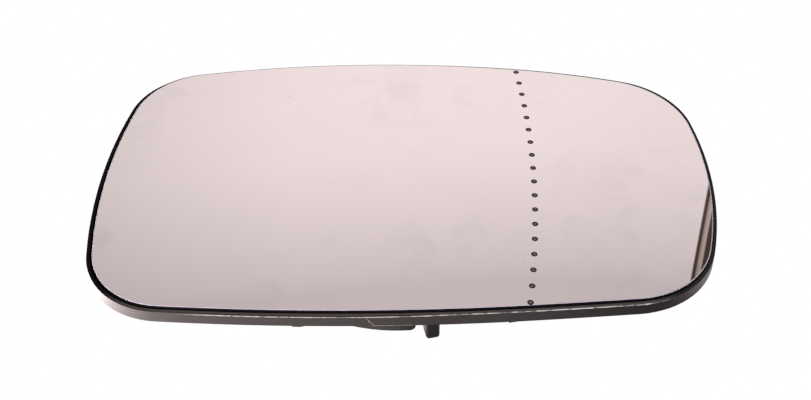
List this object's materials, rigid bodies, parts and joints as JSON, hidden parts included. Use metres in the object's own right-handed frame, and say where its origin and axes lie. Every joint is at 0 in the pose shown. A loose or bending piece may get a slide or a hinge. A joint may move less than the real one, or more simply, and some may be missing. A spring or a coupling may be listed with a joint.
{
  "type": "door mirror glass",
  "caption": "Domed car door mirror glass with a dotted wide-angle outer zone, set in a moulded backing plate with a slotted mounting ring of spring fingers and heater terminals.",
  "frame": {"origin": "on the mounting ring's axis, in the plane of the spring fingers' free ends, on which the part lies", "axes": "+Z out of the mirror's face, +X to the outer end of the glass, +Y to its top edge"},
  "size_m": [0.1811, 0.1102, 0.0204],
  "materials": {
    "mirror_glass": "first-surface look of a silvered glass with a faint warm tint",
    "zone_dots": "dull dark grey spots without silvering",
    "heater_pad": "amber film with dull adhesive",
    "heater_terminals": "tinned, semi-bright",
    "backing_plate": "dark grey moulded plastic, fine grain, slightly worn at the lip"
  },
  "bodies": {
    "root": {"mirror_glass": "mirror_glass", "zone_dots": "zone_dots", "heater_pad": "heater_pad", "heater_terminals": "heater_terminals", "backing_plate": "backing_plate"}
  },
  "joints": []
}
